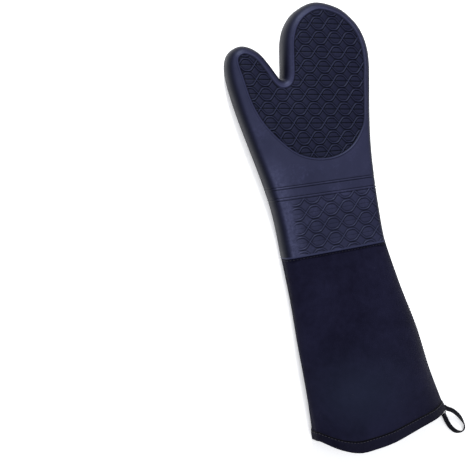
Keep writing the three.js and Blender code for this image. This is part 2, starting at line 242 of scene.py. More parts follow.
def studio():
    """A pale floor that glows a little, so its shadows stay faint, under a key and a broad fill."""
    world = bpy.data.worlds.new("studio")
    world.use_nodes = True
    background = world.node_tree.nodes["Background"]
    background.inputs["Color"].default_value = (0.93, 0.95, 1, 1)
    background.inputs["Strength"].default_value = 0.4
    bpy.context.scene.world = world
    bpy.context.scene.view_settings.view_transform = "Standard"
    area_light("key", KEY_PLACE, LIGHT_AIM, KEY_SIZE, KEY_POWER)
    area_light("fill", FILL_PLACE, LIGHT_AIM, FILL_SIZE, FILL_POWER)
    mesh = bpy.data.meshes.new("floor")
    corners = [(x * FLOOR_HALF, y * FLOOR_HALF, FLOOR_Z) for x, y in ((-1, -1), (1, -1), (1, 1), (-1, 1))]
    mesh.from_pydata(corners, [], [(0, 1, 2, 3)])
    floor = bpy.data.objects.new("floor", mesh)
    bpy.context.scene.collection.objects.link(floor)
    material = bpy.data.materials.new("light table")
    material.use_nodes = True
    shader = material.node_tree.nodes["Principled BSDF"]
    shader.inputs["Base Color"].default_value = (0.9, 0.9, 0.91, 1)
    shader.inputs["Roughness"].default_value = 0.8
    shader.inputs["Emission Color"].default_value = (0.98, 0.99, 1, 1)
    shader.inputs["Emission Strength"].default_value = FLOOR_GLOW
    mesh.materials.append(material)


# ---- node helpers and materials ----


class Nodes:
    """Short ways to add nodes to a new material."""

    def __init__(self, name):
        self.material = bpy.data.materials.new(name)
        self.material.use_nodes = True
        self.tree = self.material.node_tree
        self.shader = self.tree.nodes["Principled BSDF"]

    def add(self, kind, settings=None, **inputs):
        node = self.tree.nodes.new(kind)
        for key, value in (settings or {}).items():
            setattr(node, key, value)
        for key, value in inputs.items():
            self.feed(node.inputs[key.replace("_", " ")], value)
        return node

    def feed(self, socket, value):
        if isinstance(value, bpy.types.NodeSocket):
            self.tree.links.new(value, socket)
        else:
            socket.default_value = value

    def math(self, operation, a, b=0.0):
        node = self.tree.nodes.new("ShaderNodeMath")
        node.operation = operation
        self.feed(node.inputs[0], a)
        self.feed(node.inputs[1], b)
        return node.outputs[0]

    def noise(self, vector, scale, detail=3.0, roughness=0.5):
        node = self.add("ShaderNodeTexNoise", Vector=vector, Scale=scale, Detail=detail, Roughness=roughness)
        return node.outputs["Fac"]

    def mix(self, share, a, b):
        node = self.tree.nodes.new("ShaderNodeMix")
        node.data_type = "RGBA"
        for index, value in ((0, share), (6, a), (7, b)):
            self.feed(node.inputs[index], value)
        return node.outputs[2]

    def spread(self, value, low, high, out_low=0.0, out_high=1.0):
        ends = {"From_Min": low, "From_Max": high, "To_Min": out_low, "To_Max": out_high}
        node = self.add("ShaderNodeMapRange", Value=value, **ends)
        return node.outputs["Result"]

    def place(self):
        return self.add("ShaderNodeTexCoord").outputs["Object"]

    def attribute(self, name, output="Vector"):
        return self.add("ShaderNodeAttribute", {"attribute_name": name}).outputs[output]

    def bump(self, height, distance, strength=1.0):
        node = self.add("ShaderNodeBump", Height=height, Distance=distance, Strength=strength)
        self.feed(self.shader.inputs["Normal"], node.outputs["Normal"])

    def constants(self, **values):
        for key, value in values.items():
            self.shader.inputs[key.replace("_", " ")].default_value = value


def silicone_material():
    n = Nodes("silicone")
    place = n.place()
    relief = n.attribute("relief", "Fac")
    painted_wall_shade = n.attribute("painted_wall_shade", "Fac")
    textured = n.attribute("textured", "Fac")
    cloud = n.noise(place, 7.0, 5.0, 0.65)
    colour = n.mix(n.spread(cloud, 0.32, 0.68), (0.011, 0.0117, 0.0275, 1), (0.021, 0.0222, 0.0485, 1))
    bloom = n.math("MULTIPLY", n.noise(place, 30.0, 3.0, 0.6), n.noise(place, 300.0, 3.0, 0.75))
    colour = n.mix(n.spread(bloom, 0.28, 0.45, 0.0, 0.4), colour, (0.036, 0.038, 0.085, 1))
    # painted highlight: a paler strip beside the thumb-side edge, broken up by this mottle
    mottle = n.spread(n.noise(place, 260.0, 4.0, 0.8), 0.35, 0.7, 0.15, 0.85)
    painted_strip_highlight = n.math("MULTIPLY", n.attribute("painted_strip_highlight", "Fac"), mottle)
    colour = n.mix(painted_strip_highlight, colour, (0.045, 0.048, 0.096, 1))
    # painted shade: the textured panel is painted darker, for the shading among its ridges
    colour = n.mix(n.math("MULTIPLY", textured, 0.66), colour, (0.002, 0.0021, 0.0085, 1))
    # painted highlight: raised ridges, bead and rim are painted lighter by the relief mark
    colour = n.mix(n.spread(relief, 0.3, 1.0, 0.0, 0.55), colour, (0.026, 0.029, 0.066, 1))
    # painted shade: the grooves beside the ridges are painted near-black
    colour = n.mix(n.spread(relief, -0.45, -0.06, 0.95, 0.0), colour, (0.0002, 0.0002, 0.0009, 1))
    # painted shade: the side walls near the outline are painted near-black
    colour = n.mix(n.math("MULTIPLY", painted_wall_shade, 0.9), colour, (0.0009, 0.0009, 0.004, 1))
    n.feed(n.shader.inputs["Base Color"], colour)
    smear = n.spread(n.noise(place, 22.0, 5.0, 0.65), 0.3, 0.7, 0.4, 0.54)
    n.feed(n.shader.inputs["Roughness"], n.math("ADD", smear, n.math("MULTIPLY", textured, 0.08)))
    n.constants(Specular_IOR_Level=0.12, Specular_Tint=(0.6, 0.7, 1, 1))
    n.bump(n.noise(place, 900.0, 2.0, 0.6), 0.00015, 0.5)
    return n.material


def woven_material(name, dark, light, pitch, sheen, depth, diagonal=True):
    """Cloth whose threads follow the piece's own "cloth" coordinates, in millimetres."""
    n = Nodes(name)
    cloth = n.attribute("cloth")
    parts = n.add("ShaderNodeSeparateXYZ", Vector=cloth)
    turn = 2 * math.pi / pitch
    across = n.math("MULTIPLY", parts.outputs["X"], turn)
    along = n.math("MULTIPLY", parts.outputs["Y"], turn)
    if diagonal:
        rib = n.math("SINE", n.math("ADD", across, n.math("MULTIPLY", along, 0.8)))
    else:
        rib = n.math("MULTIPLY", n.math("SINE", across), n.math("SINE", along))
    thread = n.math("SINE", n.math("MULTIPLY", across, 2.0))
    weave = n.math("ADD", n.math("MULTIPLY", rib, 0.7), n.math("MULTIPLY", thread, 0.3))
    slub = n.noise(cloth, 0.11, 5.0, 0.65)
    fuzz = n.noise(cloth, 1.6, 3.0, 0.7)
    patch = n.noise(n.place(), 14.0, 4.0, 0.6)
    share = n.math("ADD", n.spread(slub, 0.3, 0.7, 0.0, 0.4), n.spread(weave, -1.0, 1.0, -0.1, 0.3))
    share = n.math("ADD", share, n.spread(patch, 0.35, 0.65, -0.15, 0.45))
    colour = n.mix(share, dark, light)
    # a paler patch on the top of the sleeve, towards the hem
    colour = n.mix(n.attribute("pale_patch", "Fac"), colour, (0.0125, 0.0165, 0.034, 1))
    # painted shade: the dark line along the binding's upper edge
    colour = n.mix(n.attribute("painted_edge_shade", "Fac"), colour, (0.0004, 0.0004, 0.0015, 1))
    lint = n.spread(n.noise(cloth, 0.9, 1.0, 0.5), 0.8, 0.84, 0.0, 0.35)
    colour = n.mix(lint, colour, (0.2, 0.2, 0.24, 1))
    n.feed(n.shader.inputs["Base Color"], colour)
    n.feed(n.shader.inputs["Roughness"], n.spread(fuzz, 0.2, 0.8, 0.82, 0.96))
    n.constants(Specular_IOR_Level=0.06, Sheen_Weight=sheen, Sheen_Roughness=0.4)
    n.bump(n.math("ADD", weave, n.math("MULTIPLY", fuzz, 0.6)), depth, 0.7)
    return n.material


def thread_material(name, dark, light):
    n = Nodes(name)
    bands = {"wave_type": "BANDS", "bands_direction": "DIAGONAL"}
    twist = n.add("ShaderNodeTexWave", bands, Vector=n.place(), Scale=900.0)
    colour = n.mix(twist.outputs["Fac"], dark, light)
    n.feed(n.shader.inputs["Base Color"], colour)
    n.constants(Roughness=0.6, Specular_IOR_Level=0.3, Sheen_Weight=0.15)
    n.bump(twist.outputs["Fac"], 0.00008, 0.6)
    return n.material


def make_materials():
    return {
        "silicone": silicone_material(),
        "canvas": woven_material(
            "canvas", (0.003, 0.0028, 0.0105, 1), (0.009, 0.009, 0.0255, 1), 1.1, 0.03, 0.00015
        ),
        "binding": woven_material(
            "binding", (0.0022, 0.0022, 0.0075, 1), (0.008, 0.008, 0.0195, 1), 1.5, 0.03, 0.0003
        ),
        "lining": woven_material(
            "lining", (0.011, 0.011, 0.016, 1), (0.02, 0.02, 0.027, 1), 0.9, 0.15, 0.0001, False
        ),
        "cotton": woven_material(
            "cotton", (0.42, 0.41, 0.39, 1), (0.55, 0.54, 0.51, 1), 0.9, 0.25, 0.0001, False
        ),
        "wadding": woven_material(
            "wadding", (0.55, 0.55, 0.53, 1), (0.68, 0.67, 0.65, 1), 2.6, 0.4, 0.0003, False
        ),
        "tape": woven_material(
            "tape", (0.0035, 0.0035, 0.006, 1), (0.008, 0.008, 0.013, 1), 1.2, 0.1, 0.0002
        ),
        "thread": thread_material("thread", (0.002, 0.002, 0.006, 1), (0.007, 0.007, 0.018, 1)),
    }


# ---- meshes ----


def new_piece(name, points, faces, material, normals=None, marks=None, cloth=None):
    """A mesh object from drafting points, with its vertices in the frame.

    marks are named numbers for its points, which the materials read.
    """
    mesh = bpy.data.meshes.new(name)
    mesh.from_pydata(to_frame(points).tolist(), [], faces if isinstance(faces, list) else faces.tolist())
    mesh.polygons.foreach_set("use_smooth", [True] * len(mesh.polygons))
    for key, values in (marks or {}).items():
        mesh.attributes.new(key, "FLOAT", "POINT").data.foreach_set("value", values.astype(np.float32))
    if cloth is not None:
        attribute = mesh.attributes.new("cloth", "FLOAT_VECTOR", "POINT")
        attribute.data.foreach_set("vector", np.asarray(cloth, np.float32).ravel())
    if normals is not None:
        mesh.normals_split_custom_set_from_vertices(normals.tolist())
    mesh.materials.append(materials[material])
    mesh.update()
    obj = bpy.data.objects.new(name, mesh)
    bpy.context.scene.collection.objects.link(obj)
    return obj


def point_normals(points, triangles):
    a, b, c = (points[triangles[:, i]] for i in range(3))
    face = np.cross(b - a, c - a)
    normals = np.zeros_like(points)
    for i in range(3):
        np.add.at(normals, triangles[:, i], face)
    return normals / np.maximum(np.linalg.norm(normals, axis=1, keepdims=True), 1e-12)


def catmull_rom(points, per_segment):
    points = np.asarray(points, float)
    padded = np.vstack([2 * points[0] - points[1], points, 2 * points[-1] - points[-2]])
    t = np.linspace(0, 1, per_segment, endpoint=False)[:, None]
    pieces = []
    for p0, p1, p2, p3 in zip(padded, padded[1:], padded[2:], padded[3:]):
        quadratic = 2 * p0 - 5 * p1 + 4 * p2 - p3
        cubic = -p0 + 3 * p1 - 3 * p2 + p3
        pieces.append(0.5 * (2 * p1 + (p2 - p0) * t + quadratic * t**2 + cubic * t**3))
    return np.vstack([*pieces, points[-1:]])


def even_steps(line, step):
    """The same open line with points at even steps."""
    lengths = np.r_[0, np.cumsum(np.linalg.norm(np.diff(line, axis=0), axis=1))]
    count = max(2, round(lengths[-1] / step) + 1)
    wanted = np.linspace(0, lengths[-1], count)
    return np.column_stack([np.interp(wanted, lengths, line[:, i]) for i in range(line.shape[1])])


def smoothed(line, reach):
    """The line with each point averaged over its neighbours, by a bell curve of that many points."""
    offsets = np.arange(-3 * reach, 3 * reach + 1)
    weights = np.exp(-0.5 * (offsets / reach) ** 2)
    weights /= weights.sum()
    ends = [2 * line[0] - line[3 * reach : 0 : -1], line, 2 * line[-1] - line[-2 : -3 * reach - 2 : -1]]
    extended = np.vstack(ends)
    return np.column_stack([np.convolve(extended[:, i], weights, "valid") for i in range(line.shape[1])])


def smoothstep(low, high, value):
    t = np.clip((value - low) / (high - low), 0, 1)
    return t * t * (3 - 2 * t)


# ---- the hand's surfaces ----


def hand_outline(step, end_y):
    """Points and inward directions along the outline, from the rim round to the rim."""
    line = even_steps(catmull_rom(HAND_OUTLINE, 40), 0.5)
    line = smoothed(line, 5)
    turn = smoothed(np.gradient(line, axis=0), 5)
    inward = np.column_stack([-turn[:, 1], turn[:, 0]])
    inward /= np.linalg.norm(inward, axis=1, keepdims=True)
    inward[:, 1] *= smoothstep(end_y, end_y + 20, line[:, 1])
    inward /= np.linalg.norm(inward, axis=1, keepdims=True)
    kept = line[:, 1] > end_y
    both = np.column_stack([line, inward])[kept]
    for row, edge in ((0, both[:1]), (len(both), both[-1:])):
        end = edge.copy()
        end[0, 1] = end_y
        end[0, 2:] = (-np.sign(end[0, 0]), 0)
        both = np.insert(both, row, end, axis=0)
    lengths = np.r_[0, np.cumsum(np.linalg.norm(np.diff(both[:, :2], axis=0), axis=1))]
    wanted = np.linspace(0, lengths[-1], round(lengths[-1] / step) + 1)
    return np.column_stack([np.interp(wanted, lengths, both[:, i]) for i in range(4)])


def edge_profile(depth, inset):
    """Height above the middle of the layer at that depth, at a distance in from the outline."""
    power = 2 / EDGE_POWER
    x = np.clip((inset - depth) / (EDGE_INSET - depth), 0, 1)
    cosine = (1 - x) ** (1 / power)
    return (MID_Z - depth) * np.sqrt(1 - cosine**2) ** power


def crown(inset):
    """The padded palm stands a little proud in its middle."""
    return CROWN_HEIGHT * smoothstep(6, 45, inset)


def within(polygon, points):
    """Whether each point is inside the closed polygon."""
    inside = np.zeros(len(points), bool)
    for a, b in zip(polygon, np.roll(polygon, -1, axis=0)):
        if a[1] != b[1]:
            crosses = (a[1] > points[:, 1]) != (b[1] > points[:, 1])
            at = a[0] + (points[crosses, 1] - a[1]) * (b[0] - a[0]) / (b[1] - a[1])
            inside[crosses] ^= points[crosses, 0] < at
    return inside


def interior_points(boundary, step, cuts):
    """Points on an even triangular grid inside the closed boundary, with rows along the cut lines."""
    low, high = boundary.min(0), boundary.max(0)
    rows = np.arange(low[1], high[1], step * math.sqrt(0.75))
    columns = np.arange(low[0], high[0], step)
    x, y = np.meshgrid(columns, rows)
    x = x + (np.arange(len(rows)) % 2 * step / 2)[:, None]
    points = np.column_stack([x.ravel(), y.ravel()])
    for origin, direction in cuts:
        side = np.array([-direction[1], direction[0]])
        points = points[np.abs((points - origin) @ side) > step * 0.45]
    for origin, direction in cuts:
        points = np.vstack([points, origin + np.arange(-160, 160, step)[:, None] * direction])
    return points[within(boundary, points)]


def distance_to(line, points):
    tree = KDTree(len(line))
    for i, (x, y) in enumerate(line):
        tree.insert((x, y, 0), i)
    tree.balance()
    return np.array([tree.find((x, y, 0))[2] for x, y in points])


def part_of(points):
    """Which of the moulding's visible pieces each place belongs to."""
    beyond = (points - CLEFT) @ THUMB_OUT
    along = (points - CLEFT) @ THUMB_LINE
    x, y = points[:, 0], points[:, 1]
    gap_middle = CLEFT[0] - GAP_LEAN * (y - CLEFT[1])
    part = np.full(len(points), "hand", dtype=object)
    part[y < FOREARM_CUT_Y] = "forearm"
    part[(y > CUTS["fingers"][0][1]) & ((x > gap_middle) | (y > FINGERTIPS_Y))] = "fingers"
    part[(beyond > 0) & (along > -45) & (x < gap_middle) & (y > FOREARM_CUT_Y)] = "thumb"
    return part


def hand_surface(depth, step, edge_step, end_y, raised):
    """The closed surface of one layer of the hand, open at its end towards the sleeve.

    raised(points, inset) is how far the surface stands out of the plain layer. Returns the
    points, triangles and relief, the distance in from the outline, and the textured areas.
    """
    outline = hand_outline(edge_step, end_y)
    count = len(outline)
    band = 8.5 if depth < SHELL_THICK else EDGE_INSET - 1.5
    fine = np.linspace(depth, band, 400)
    curve = np.column_stack([fine, edge_profile(depth, fine)])
    half = even_steps(curve, edge_step * 1.3)
    insets = np.r_[half[::-1, 0], half[1:, 0]]
    heights = np.r_[-half[::-1, 1], half[1:, 1]]
    rings = len(insets)
    grid_xy = outline[None, :, :2] + outline[None, :, 2:] * insets[:, None, None]
    grid_z = np.repeat(heights[:, None], count, axis=1)
    points = [np.column_stack([grid_xy.reshape(-1, 2), grid_z.ravel()])]
    inset = [np.repeat(insets, count)]
    i, j = np.meshgrid(np.arange(rings - 1), np.arange(count - 1), indexing="ij")
    a = (i * count + j).ravel()
    triangles = [np.column_stack([a, a + 1, a + count + 1]), np.column_stack([a, a + count + 1, a + count])]
    total = rings * count
    for palm in (False, True):
        ring = (rings - 1 if palm else 0) * count + np.arange(count)
        edge = grid_xy[rings - 1 if palm else 0]
        gap = abs(edge[0, 0] - edge[-1, 0])
        steps = int(gap / step)
        end_x = np.linspace(edge[-1, 0], edge[0, 0], steps + 1)[1:-1]
        end_line = np.column_stack([end_x, np.full(len(end_x), float(end_y))])
        boundary = np.vstack([edge, end_line])
        inner = interior_points(boundary, step, list(CUTS.values()))
        near = distance_to(boundary, inner)
        inner = inner[near > step * 0.6]
        flat = np.vstack([boundary, inner])
        ids = np.r_[ring, total + np.arange(len(flat) - count)]
        edges = [(k, (k + 1) % len(boundary)) for k in range(len(boundary))]
        _, _, found, origin, _, _ = delaunay_2d_cdt([Vector(p) for p in flat], edges, [], 1, 1e-6, True)
        back = np.array([o[0] for o in origin])
        found = back[np.array(found)]
        found = ids[found[within(boundary, flat[found].mean(1))]]
        triangles.append(found if palm else found[:, ::-1])
        added = flat[count:]
        away = distance_to(outline[:, :2], added)
        height = edge_profile(depth, away)
        points.append(np.column_stack([added, height if palm else -height]))
        inset.append(away)
        total += len(added)
    points = np.vstack(points)
    triangles = np.vstack(triangles)
    inset = np.concatenate(inset)
    palm = points[:, 2] > 0
    points[:, 2] += MID_Z + np.where(palm, crown(inset), 0)
    normals = point_normals(points, triangles)
    relief = raised(points, inset)
    return points + normals * relief[:, None], triangles, relief, inset, panel_finish_and_shade(points, inset)


def split_skin(prefix, surface, material, flip=False, cloth=False):
    """One object for each part of the moulding, with the whole surface's normals."""
    points, triangles, relief, inset, textured = surface
    if flip:
        triangles = triangles[:, ::-1]
    normals = point_normals(points, triangles)
    part = part_of(points[triangles].mean(1)[:, :2])
    pieces = {}
    for name in ("fingers", "thumb", "hand", "forearm"):
        faces = triangles[part == name]
        used, local = np.unique(faces, return_inverse=True)
        pieces[name] = new_piece(
            f"{prefix}_{name}", points[used], local.reshape(-1, 3), material,
            normals=normals[used],
            marks={
                # relief: the moulded height, which the silicone also uses for painted highlight on ridges
                # and painted shade in grooves
                "relief": relief[used] / RIDGE_HEIGHT,
                # painted shade on the side walls, strongest at the outline
                "painted_wall_shade": 1 - smoothstep(2, 8.5, inset[used]),
                # textured: rougher finish, and painted shade on the panel
                "textured": textured[used],
                # painted highlight strip beside the thumb-side edge
                "painted_strip_highlight": painted_highlight_strip(points[used], inset[used]),
            },
            cloth=points[used] if cloth else None,
        )
    return pieces


# ---- the texture's height ----


def ridge(distance, half):
    """A rounded ridge: 1 on its line and 0 beyond its half width."""
    return np.cos(np.clip(np.abs(distance) / half, 0, 1) * math.pi / 2) ** 2


def groove(distance):
    """The shallow groove on each side of a ridge."""
    return ridge(np.abs(distance) - RIDGE_HALF * 1.6, RIDGE_HALF * 1.2)


def wave_lines(points, node, cell, straight):
    """Grooved straight rows, each with two opposite raised waves that cross at the nodes."""
    across = points[:, 0] - node[0]
    tilt = ROW_TILT * smoothstep(40, 150, points[:, 1])
    up = points[:, 1] - tilt * (points[:, 0] - ROW_CENTRE_X) - node[1]
    row = up - np.round(up / cell[1]) * cell[1]
    ramp = np.arcsin(np.sin(math.pi * across / cell[0])) / math.pi / WAVE_RAMP
    rounded = (1 + np.abs(ramp) ** WAVE_SHARPNESS) ** (1 / WAVE_SHARPNESS)
    shape = ramp / rounded
    slope = WAVE_HEIGHT / (WAVE_RAMP * cell[0]) / rounded ** (WAVE_SHARPNESS + 1)
    stretch = np.sqrt(1 + slope**2)
    waves = [(row - sign * WAVE_HEIGHT * shape) / stretch for sign in (1, -1)]
    found = np.max([ridge(away, RIDGE_HALF) for away in waves], axis=0)
    sunk = np.max([groove(away) for away in waves] + [straight * ridge(row, RIDGE_HALF)], axis=0)
    return found - GROOVE_SHARE * sunk * (1 - found)


def segment_distance(points, corners):
    best = np.full(len(points), np.inf)
    for a, b in zip(corners, corners[1:]):
        d = b - a
        t = np.clip(((points - a) @ d) / (d @ d), 0, 1)
        best = np.minimum(best, np.linalg.norm(points - a - t[:, None] * d, axis=1))
    return best


def inside_panel(points, inset):
    """Distance in from the grip panel's border, which follows the outline and closes in an arc."""
    flat = points[:, :2]
    arc = catmull_rom(PANEL_ARC, 5)
    from_arc = segment_distance(flat, arc) * np.where(within(arc, flat), 1, -1)
    from_edge = inset - PANEL_INSET
    share = np.clip(0.5 + 0.5 * (from_arc - from_edge) / PANEL_SOFTNESS, 0, 1)
    return from_arc * (1 - share) + from_edge * share - PANEL_SOFTNESS * share * (1 - share) * 0.5


def inside_band(points):
    """1 in the textured band above the rim, fading out at its ends."""
    x, y = points[:, 0], points[:, 1]
    return (
        smoothstep(BAND_TOP_Y + 1, BAND_TOP_Y, y)
        * smoothstep(BAND_LEFT_X - 7, BAND_LEFT_X + 4, x)
        * smoothstep(BAND_RIGHT_X + 2, BAND_RIGHT_X, x)
        * smoothstep(RIM_Y + 1.5, RIM_Y + 2.5, y)
    )


def panel_finish_and_shade(points, inset):
    """How strongly the textured panel shows: its rougher finish, and painted shade that darkens it for the
    shading among its ridges.
    """
    return smoothstep(0, 2, inside_panel(points, inset))


def painted_highlight_strip(points, inset):
    """A painted highlight: the paler strip beside the thumb-side edge of the forearm, where light catches
    it.
    """
    x, y = points[:, 0], points[:, 1]
    across = smoothstep(6, 9, inset) * smoothstep(32, 12, inset)
    return across * smoothstep(-10, -45, x) * smoothstep(110, 60, y)


def moulded_relief(points, inset):
    """How far the silicone's texture stands out, in millimetres."""
    flat = points[:, :2]
    inside = inside_panel(points, inset)
    bead = BEAD_HEIGHT * ridge(inside, BEAD_HALF) - 0.4 * ridge(inside - BEAD_HALF * 1.9, BEAD_HALF)
    in_panel = smoothstep(BEAD_HALF * 1.2, BEAD_HALF * 2.4, inside)
    panel_waves = wave_lines(flat, PANEL_NODE, PANEL_CELL, ROW_GROOVE_PANEL)
    band_waves = wave_lines(flat, BAND_NODE, BAND_CELL, ROW_GROOVE_BAND)
    relief = bead + RIDGE_HEIGHT * in_panel * panel_waves
    relief += BAND_RIDGE_SHARE * RIDGE_HEIGHT * inside_band(points) * band_waves
    tilt = BAND_LINE_TILT * (flat[:, 0] - BAND_LINE_LEVEL_X)
    for y, apart in BAND_LINES:
        for side in (-1, 1):
            relief -= 0.5 * ridge(flat[:, 1] - y - tilt - side * apart, 0.8)
        relief += 0.35 * ridge(flat[:, 1] - y - tilt, apart * 0.8)
    return relief


def no_relief(points, inset):
    return np.zeros(len(points))


def quilted_relief(points, inset):
    """The liner's inside puffs inwards between its quilting lines, which cross in diamonds."""
    puff = np.ones(len(points))
    for sign in (1, -1):
        across = (points[:, 0] + sign * points[:, 1]) / math.sqrt(2) / QUILT_SPACING
        away = np.abs(across - np.round(across)) * QUILT_SPACING
        puff *= 1 - np.exp(-((away / QUILT_LINE) ** 2))
    return -QUILT_PUFF * puff


# ---- the silicone hand ----


def blend_parts(pieces):
    """Puts the hand piece on the hand's body and bakes the other pieces in place; the bend zones are listed
    but not used.
    """
    cleft = np.array([CLEFT[0], CLEFT[1], MID_Z])
    outward = np.array([THUMB_OUT[0], THUMB_OUT[1], 0])
    zones = {
        "fingers": ((0, 190.5, MID_Z), (0, 232, MID_Z)),
        "thumb": (cleft + outward * 1.5, cleft + outward * 38),
        "forearm": ((0, 95.5, MID_Z), (0, 50, MID_Z)),
    }
    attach(pieces["hand"], "hand")
    for body, (start, end) in zones.items():
        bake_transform(pieces[body])


def rim_loop(depth, y, count=360):
    """A closed section of the hand at the rim, at that depth below its surface."""
    outline = hand_outline(SKIN_STEP, RIM_Y)
    right, left = outline[0, 0], outline[-1, 0]
    angles = np.linspace(-math.pi / 2, math.pi / 2, 41)
    power = 2 / EDGE_POWER
    inset = depth + (EDGE_INSET - depth) * (1 - np.abs(np.cos(angles)) ** power)
    z = MID_Z + (MID_Z - depth) * np.sign(angles) * np.abs(np.sin(angles)) ** power
    side = np.column_stack([right - inset, z])
    other = np.column_stack([left + inset, z])[::-1]
    section = np.vstack([side, other, side[:1]])
    from_side = np.minimum(right - section[:, 0], section[:, 0] - left)
    section[:, 1] += np.where(section[:, 1] > MID_Z, crown(from_side), 0)
    dense = even_steps(section, 1.0)
    away = np.minimum(right - dense[:, 0], dense[:, 0] - left)
    top = MID_Z + edge_profile(depth, away) + crown(away)
    dense[:, 1] = np.where(dense[:, 1] > MID_Z + 10, top, dense[:, 1])
    dense = even_steps(dense, np.linalg.norm(np.diff(dense, axis=0), axis=1).sum() / count)
    return np.column_stack([dense[:, 0], np.full(len(dense), y), dense[:, 1]])[:-1]


def loft(loops):
    """Points and faces between closed loops of equal length, joined in order."""
    count = len(loops[0])
    faces = []
    for i in range(len(loops) - 1):
        for j in range(count):
            k = (j + 1) % count
            faces.append((i * count + j, i * count + k, (i + 1) * count + k, (i + 1) * count + j))
    return np.vstack(loops), faces


def silicone_rim():
    """The moulding's thickened end, over which the sleeve is sewn."""
    profile = [
        (0.05, 2), (-0.1, 1.6), (-0.3, 1.1), (-0.36, 0.7), (-0.3, 0.2), (-0.05, -0.2),
        (0.5, -0.4), (1.6, -0.3), (SHELL_THICK, 0.2), (SHELL_THICK + 0.1, 8),
    ]
    points, faces = loft([rim_loop(depth, RIM_Y + along) for depth, along in profile])
    faces = [face[::-1] for face in faces]
    # painted highlight: the rim's relief mark of 0.8 paints the whole rim lighter
    rim = new_piece("silicone_rim", points, faces, "silicone", marks={"relief": np.full(len(points), 0.8)})
    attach(rim, "forearm")


def silicone_hand():
    surface = hand_surface(0, SKIN_STEP, EDGE_STEP, RIM_Y, moulded_relief)
    pieces = split_skin("skin", surface, "silicone")
    stands_for = {
        "fingers": ("shell_fingers", "shell_knuckle_bend"),
        "thumb": ("shell_thumb", "shell_thumb_bend"),
        "hand": ("shell_hand",),
        "forearm": ("shell_forearm", "shell_wrist_bend"),
    }
    blend_parts(pieces)
    for name, obj in pieces.items():
        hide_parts(*stands_for[name])
    silicone_rim()


def quilted_liner():
    """The padded liner: wadding towards the silicone, and a quilted cotton inside."""
    inside_depth = LINER_DEPTH + LINER_THICK
    plain = hand_surface(LINER_DEPTH, LINER_STEP, LINER_STEP, LINER_END_Y, no_relief)
    inside = hand_surface(inside_depth, LINER_STEP, LINER_STEP, LINER_END_Y, quilted_relief)
    for prefix, surface, flip, layer in (
        ("liner_outer", plain, False, "wadding"),
        ("liner", inside, True, "cotton"),
    ):
        pieces = split_skin(prefix, surface, layer, flip=flip, cloth=True)
        blend_parts(pieces)
        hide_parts(f"{layer}_palm", f"{layer}_back")
    edge = [
        (LINER_DEPTH, 2), (LINER_DEPTH - 0.2, 0), (LINER_DEPTH + 0.8, -1),
        (inside_depth - 0.6, -1), (inside_depth + 0.5, 0), (inside_depth + 0.3, 9),
    ]
    points, faces = loft([rim_loop(depth, LINER_END_Y + along) for depth, along in edge])
    faces = [face[::-1] for face in faces]
    cloth = np.column_stack([points[:, 0] + points[:, 2], points[:, 1], points[:, 2] * 0])
    collar = new_piece("liner_edge", points, faces, "cotton", cloth=cloth)
    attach(collar, "forearm")


# ---- the sleeve ----


def station_value(values, share):
    padded = np.r_[2 * values[0] - values[1], values, 2 * values[-1] - values[-2]]
    place = np.clip(share, 0, 1) * (len(values) - 1)
    i = np.minimum(place.astype(int), len(values) - 2)
    t = place - i
    p0, p1, p2, p3 = (padded[i + k] for k in range(4))
    quadratic = 2 * p0 - 5 * p1 + 4 * p2 - p3
    cubic = -p0 + 3 * p1 - 3 * p2 + p3
    return 0.5 * (2 * p1 + (p2 - p0) * t + quadratic * t**2 + cubic * t**3)


def lerp(a, b, t):
    return a + (b - a) * t


def section(share, degrees):
    """Points of the sleeve's outer surface: share is 0 at the rim and 1 at the hem."""
    left = station_value(SLEEVE_LEFT, share)
    right = station_value(SLEEVE_RIGHT, share)
    angle = np.radians(degrees)
    upper = np.sin(angle) >= 0
    part = np.clip(share, 0, None)
    seam_z = lerp(MID_Z, MOUTH_SEAM_Z, part)
    top_z = lerp(HAND_HEIGHT - SLEEVE_DROP, MOUTH_HEIGHT, part)
    power = lerp(RIM_POWER, np.where(upper, MOUTH_TOP_POWER, MOUTH_BACK_POWER), np.sqrt(part))
    reach = (np.abs(np.cos(angle)) ** power + np.abs(np.sin(angle)) ** power) ** (-1 / power)
    rise = reach * np.sin(angle)
    lean = np.where(upper, RIDGE_SHIFT * part * rise, 0)
    x = (right + left) / 2 + (right - left) / 2 * (reach * np.cos(angle) - lean)
    z = seam_z + rise * np.where(upper, top_z - seam_z, seam_z - SLEEVE_DROP)
    across = np.clip((x - left) / (right - left), 0, 1)
    drop = part**HEM_DROP_POWER * station_value(HEM_DROP, across) * np.where(upper, 1, BACK_DROP_SHARE)
    y = lerp(RIM_Y, lerp(HEM_LEFT_Y, HEM_RIGHT_Y, across), share) - drop
    return np.stack(np.broadcast_arrays(x, y, z), axis=-1)


def sleeve_points(share, degrees, depth):
    """Points at a depth below the sleeve's outer surface, with its soft folds."""
    share, degrees, depth = np.broadcast_arrays(np.asarray(share, float), degrees, depth)
    points = section(share, degrees)
    ahead = section(share, degrees + 0.2)
    behind = section(share, degrees - 0.2)
    inward = np.stack([behind[..., 2] - ahead[..., 2], ahead[..., 0] - behind[..., 0]], axis=-1)
    inward /= np.maximum(np.linalg.norm(inward, axis=-1, keepdims=True), 1e-12)
    flat = np.stack([-np.sign(np.cos(np.radians(degrees))), np.zeros_like(degrees)], axis=-1)
    seam = (1 - smoothstep(0.02, 0.16, np.abs(np.sin(np.radians(degrees)))))[..., None]
    inward = inward * (1 - seam) + flat * seam
    inward /= np.maximum(np.linalg.norm(inward, axis=-1, keepdims=True), 1e-12)
    total = depth + folds(share, degrees)
    points[..., 0] += inward[..., 0] * total
    points[..., 2] += inward[..., 1] * total
    return points


